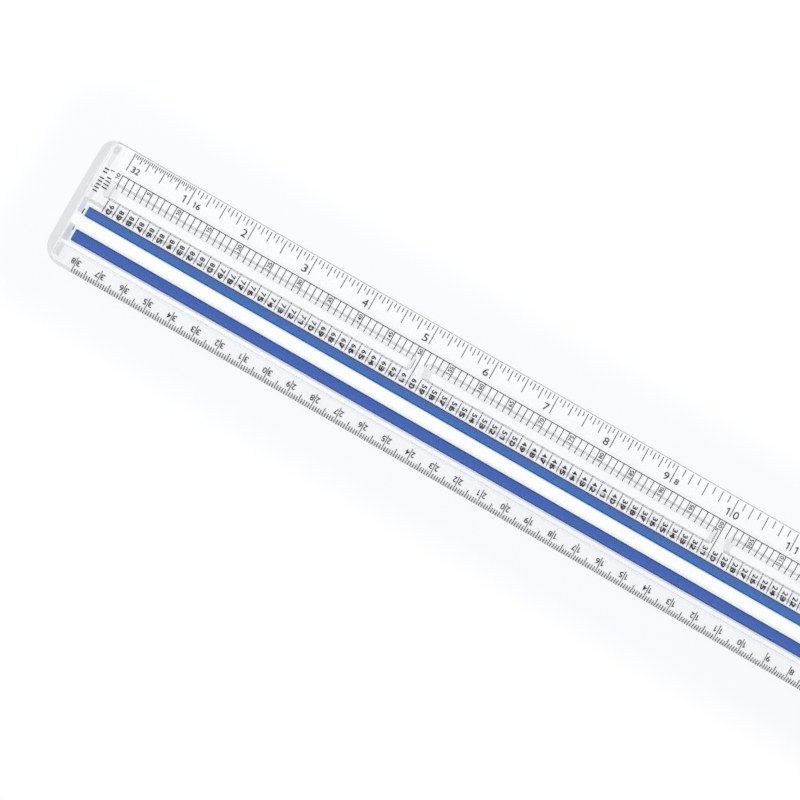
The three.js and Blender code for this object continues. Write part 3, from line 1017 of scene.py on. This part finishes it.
def build_floor():
    """Plain pale paper, with soft bands of light and shade where the ruler lies."""
    signs = ((-1, -1), (1, -1), (1, 1), (-1, 1))
    corners = [(x * FLOOR_HALF, y * FLOOR_HALF, FLOOR_Z) for x, y in signs]
    floor = new_object("floor", mesh_from("floor", corners, [(0, 1, 2, 3)]))
    material, n = new_material("pale_paper")
    _, (x, y, _) = n.position()
    beyond_x = n.math("MAXIMUM", n.math("SUBTRACT", n.math("ABSOLUTE", x), LENGTH / 2), 0.0)
    beyond_y = n.math("MAXIMUM", n.math("SUBTRACT", n.math("ABSOLUTE", y), WIDTH / 2), 0.0)
    away = n.math("SQRT", n.math("ADD", n.math("POWER", beyond_x, 2), n.math("POWER", beyond_y, 2)))
    colour = n.mix_colour(n.ramp(away, *SHADE_FADE), SHADED_PAPER, OPEN_PAPER)
    # Painted light that the lens bar gathers onto the paper below it.
    off_axis = n.math("ABSOLUTE", n.math("SUBTRACT", y, LENS_Y))
    gathered = n.math("SUBTRACT", 1.0, n.ramp(off_axis, *GATHERED_FADE))
    # Painted light under the inch side of the blade.
    below_inches = n.math(
        "MULTIPLY",
        n.ramp(y, from_inch_edge(16.1), from_inch_edge(15.7)),
        n.math("SUBTRACT", 1.0, n.ramp(y, from_inch_edge(0.4), from_inch_edge(-0.1))),
    )
    inside = n.math("LESS_THAN", n.math("ABSOLUTE", x), LENGTH / 2 - 3.0)
    below_inches = n.math("MULTIPLY", below_inches, inside)
    colour = n.mix_colour(below_inches, colour, PAPER_UNDER_INCHES)
    past_lens = n.ramp(n.math("ABSOLUTE", x), LENS_LENGTH / 2 - 5.0, LENS_LENGTH / 2)
    along = n.math("SUBTRACT", 1.0, past_lens)
    colour = n.mix_colour(n.math("MULTIPLY", gathered, along), colour, PAPER_UNDER_LENS)
    # Painted blue light beside each film, passed through it.
    for side in (1, -1):
        low, high = strip_edges(side)
        film_light = n.math("MULTIPLY", n.band(y, low - FILM_LIGHT_REACH, high + FILM_LIGHT_REACH, 0.1), along)
        colour = n.mix_colour(film_light, colour, PAPER_BY_FILM)
    shader = n.add("ShaderNodeBsdfDiffuse")
    n.put(shader.inputs["Color"], colour)
    n.finish(shader.outputs[0])
    floor.data.materials.append(material)


def build_world():
    """White all round; what the acrylic mirrors is greyer towards the floor and right overhead."""
    world = bpy.data.worlds.new("studio")
    bpy.context.scene.world = world
    world.use_nodes = True
    n = Nodes(world.node_tree)
    path = n.add("ShaderNodeLightPath")
    where = n.add("ShaderNodeTexCoord")
    split = n.add("ShaderNodeSeparateXYZ")
    n.put(split.inputs[0], where.outputs["Generated"])
    height = n.ramp(split.outputs["Z"], -0.1, 0.5)
    overhead = n.ramp(split.outputs["Z"], 0.8, 0.97)
    mirrored = n.mix_colour(height, MIRRORED_LOW, MIRRORED_ROUND)
    mirrored = n.mix_colour(overhead, mirrored, MIRRORED_OVERHEAD)
    lit = n.mix_colour(path.outputs["Is Diffuse Ray"], mirrored, ROOM_LIGHT)
    seen = n.mix_colour(path.outputs["Is Camera Ray"], lit, BACKDROP)
    background = n.add("ShaderNodeBackground")
    n.put(background.inputs["Color"], seen)
    out = n.add("ShaderNodeOutputWorld")
    n.put(out.inputs["Surface"], background.outputs[0])


def build_light():
    data = bpy.data.lights.new("softbox", "AREA")
    data.shape = "SQUARE"
    data.size = SOFTBOX_SIZE
    data.energy = SOFTBOX_WATTS
    light = bpy.data.objects.new("softbox", data)
    bpy.context.scene.collection.objects.link(light)
    light.location = SOFTBOX_PLACE
    light.visible_glossy = False
    light.rotation_mode = "QUATERNION"
    light.rotation_quaternion = light.location.to_track_quat("Z", "Y")


def build_camera():
    data = bpy.data.cameras.new("camera")
    data.lens = CAMERA_LENS
    data.sensor_width = CAMERA_SENSOR
    data.clip_start = 0.01
    data.clip_end = 50
    camera = bpy.data.objects.new("camera", data)
    bpy.context.scene.collection.objects.link(camera)
    back = Vector(CAMERA_BACK).normalized()
    right = back.cross(Vector(CAMERA_DOWN)).normalized()
    up = back.cross(right)
    turn = Matrix((right, up, back)).transposed()
    camera.matrix_world = Matrix.Translation(CAMERA_PLACE) @ turn.to_4x4()
    bpy.context.scene.camera = camera


build_floor()
build_world()
build_light()
build_camera()

# Light crosses many clear faces, and each bonded face takes one transparent bounce more.
scene = bpy.context.scene
scene.view_settings.view_transform = "Standard"
scene.cycles.max_bounces = 48
scene.cycles.glossy_bounces = 40
scene.cycles.transmission_bounces = 40
scene.cycles.transparent_max_bounces = 96
